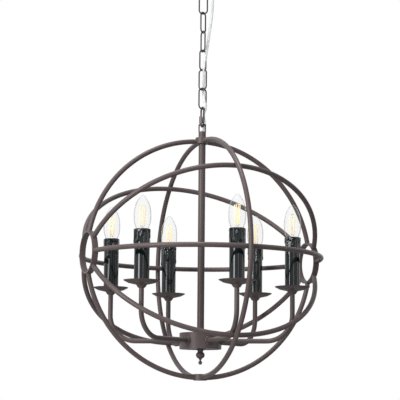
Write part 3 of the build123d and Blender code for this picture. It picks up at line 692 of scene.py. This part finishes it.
def cap_profile():
    """Rolled screw cap: bottom bead, rounded thread and flared skirt."""
    profile = [(CAP_R - 2.6, CAP_BOTTOM), (CAP_R - 1.2, CAP_BOTTOM + 0.5)]
    turns, steps = 6, 8
    low, high = CAP_BOTTOM + 2.0, NECK_Z - 4.5
    for k in range(turns * steps + 1):
        wave = 0.5 - 0.5 * cos(2 * pi * k / steps)
        profile.append((CAP_R - 0.75 + 0.7 * wave, low + (high - low) * k / (turns * steps)))
    profile += [(CAP_R - 0.3, high + 1.2), (NECK_R + 0.15, NECK_Z - 1.4), (NECK_R + 0.15, NECK_Z)]
    profile += [(NECK_R - 0.6, NECK_Z)]
    return at_rim(profile)


def stem_profile():
    """Pressed glass stem with a flared foot."""
    return at_rim([
        (0.0, NECK_Z + 0.2), (6.2, NECK_Z + 0.4), (5.0, NECK_Z + 1.6), (3.4, NECK_Z + 4.5),
        (2.9, NECK_Z + 9.0), (3.1, STEM_TOP - 3.0), (2.5, STEM_TOP - 0.8), (1.2, STEM_TOP),
        (0.0, STEM_TOP),
    ])


def rod_between(start, end, radius, sides, rounded=0.0):
    """Straight round rod between two points, in metres, with slightly rounded ends."""
    start, end = Vector(start), Vector(end)
    rings = tube_rings([start.lerp(end, t) for t in (0.0, 0.02, 0.98, 1.0)], radius, sides)
    if rounded:
        for ring, centre in ((rings[0], start), (rings[-1], end)):
            for k, point in enumerate(ring):
                ring[k] = tuple(centre + (Vector(point) - centre) * rounded)
    return ring_stack(rings, True, True)


def filament_shapes(cx, cy, azimuth):
    """Four strips that lean slightly outward, and the wires that carry them."""
    strips, wires = [], []
    base = PAN_RIM_Z
    for k in range(4):
        a = azimuth + pi / 4 + pi / 2 * k
        out = Vector((cos(a), sin(a), 0.0))
        foot = Vector((cx, cy, base + FILAMENT_LOW * MM)) + out * (FILAMENT_SPREAD[0] * MM)
        head = Vector((cx, cy, base + FILAMENT_HIGH * MM)) + out * (FILAMENT_SPREAD[1] * MM)
        strips.append(rod_between(foot, head, FILAMENT_R * MM, 12, 0.7))
        root = Vector((cx, cy, base + (STEM_TOP - 4) * MM)) + out * (1.2 * MM)
        hub = Vector((cx, cy, base + (FILAMENT_HIGH + 2.0) * MM))
        wires.append(rod_between(root, foot, LEAD_R * MM, 8))
        wires.append(rod_between(head, hub, LEAD_R * MM, 8))
    spine_low = (cx, cy, base + (STEM_TOP - 2) * MM)
    spine_high = (cx, cy, base + (FILAMENT_HIGH + 2.2) * MM)
    wires.append(rod_between(spine_low, spine_high, SPINE_R * MM, 8))
    return merge_shapes(strips), merge_shapes(wires)


def make_bulbs():
    """Cap, contact, stem, filaments and wires of each bulb. Its glass is the CAD's."""
    for number, (cx, cy, azimuth) in enumerate(candle_places(), 1):
        centre = (cx, cy)
        strips, wires = filament_shapes(cx, cy, azimuth)
        contact = at_rim([(0.0, 64.0), (2.2, 64.1), (3.0, 64.9), (3.2, 65.6)])
        insulator = at_rim([(3.2, 65.5), (CAP_R - 2.6, CAP_BOTTOM)])
        pieces = (
            ("cap", lathe(cap_profile(), 48, centre), CAP_BRASS),
            ("contact", lathe(contact, 32, centre), ZINC),
            ("insulator", lathe(insulator, 32, centre), BASE_BLACK),
            ("stem", lathe(stem_profile(), 32, centre), BULB_GLASS),
            ("filaments", strips, FILAMENT),
            ("wires", wires, LEAD_WIRE),
        )
        for kind, shape, material in pieces:
            piece = mesh_piece(f"bulb_{kind}_{number}", *shape, material, crease=50.0)
            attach(piece, f"bulb_{number}")
            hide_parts(f"bulb_works_{number}")


make_bulbs()


# ------------------------------------------------------------------ studio
def make_studio():
    """Pale floor far below, a white surround, and soft lamps from the left and above."""
    floor_z = -2.6
    reach = 14.0
    data = bpy.data.meshes.new("floor")
    signs = ((-1, -1), (1, -1), (1, 1), (-1, 1))
    corners = [(x * reach, y * reach, floor_z) for x, y in signs]
    data.from_pydata(corners, [], [(0, 1, 2, 3)])
    floor = bpy.data.objects.new("floor", data)
    material, _, _, shader = start_material("floor_pale")
    shader.inputs["Base Color"].default_value = (0.86, 0.86, 0.86, 1)
    shader.inputs["Roughness"].default_value = 0.9
    data.materials.append(material)
    bpy.context.scene.collection.objects.link(floor)

    world = bpy.data.worlds.new("studio_surround")
    bpy.context.scene.world = world
    world.use_nodes = True
    nodes, links = world.node_tree.nodes, world.node_tree.links
    nodes.clear()
    path = nodes.new("ShaderNodeLightPath")
    seen = nodes.new("ShaderNodeMath")
    seen.operation = "MAXIMUM"
    through = nodes.new("ShaderNodeMath")
    through.operation = "MAXIMUM"
    light = nodes.new("ShaderNodeBackground")
    light.inputs["Color"].default_value = (1, 1, 1, 1)
    light.inputs["Strength"].default_value = 0.14
    white = nodes.new("ShaderNodeBackground")
    white.inputs["Color"].default_value = (1, 1, 1, 1)
    white.inputs["Strength"].default_value = 1.0
    choose = nodes.new("ShaderNodeMixShader")
    output = nodes.new("ShaderNodeOutputWorld")
    links.new(path.outputs["Is Camera Ray"], seen.inputs[0])
    links.new(path.outputs["Is Transmission Ray"], seen.inputs[1])
    links.new(seen.outputs[0], through.inputs[0])
    links.new(path.outputs["Is Glossy Ray"], through.inputs[1])
    links.new(through.outputs[0], choose.inputs["Fac"])
    links.new(light.outputs[0], choose.inputs[1])
    links.new(white.outputs[0], choose.inputs[2])
    links.new(choose.outputs[0], output.inputs["Surface"])

    lamps = (                # name, place, width, height, power
        ("key_softbox", (-3.0, -1.5, 0.2), 1.2, 2.4, 125.0),
        ("front_strip", (-0.2, -3.4, -0.1), 0.20, 1.6, 8.0),
        ("top_lamp", (-0.5, -0.3, 2.2), 1.2, 1.2, 62.0),
        ("fill_strip", (3.0, -1.8, -0.3), 0.30, 1.8, 7.0),
    )
    for name, spot, width, height, power in lamps:
        lamp = bpy.data.lights.new(name, "AREA")
        lamp.shape = "RECTANGLE"
        lamp.size = width
        lamp.size_y = height
        lamp.energy = power
        holder = bpy.data.objects.new(name, lamp)
        holder.location = spot
        aim = Vector((0.0, 0.0, ORB_CENTRE_Z)) - Vector(spot)
        holder.rotation_euler = aim.to_track_quat("-Z", "Y").to_euler()
        bpy.context.scene.collection.objects.link(holder)


make_studio()
bpy.context.scene.view_settings.view_transform = "Standard"
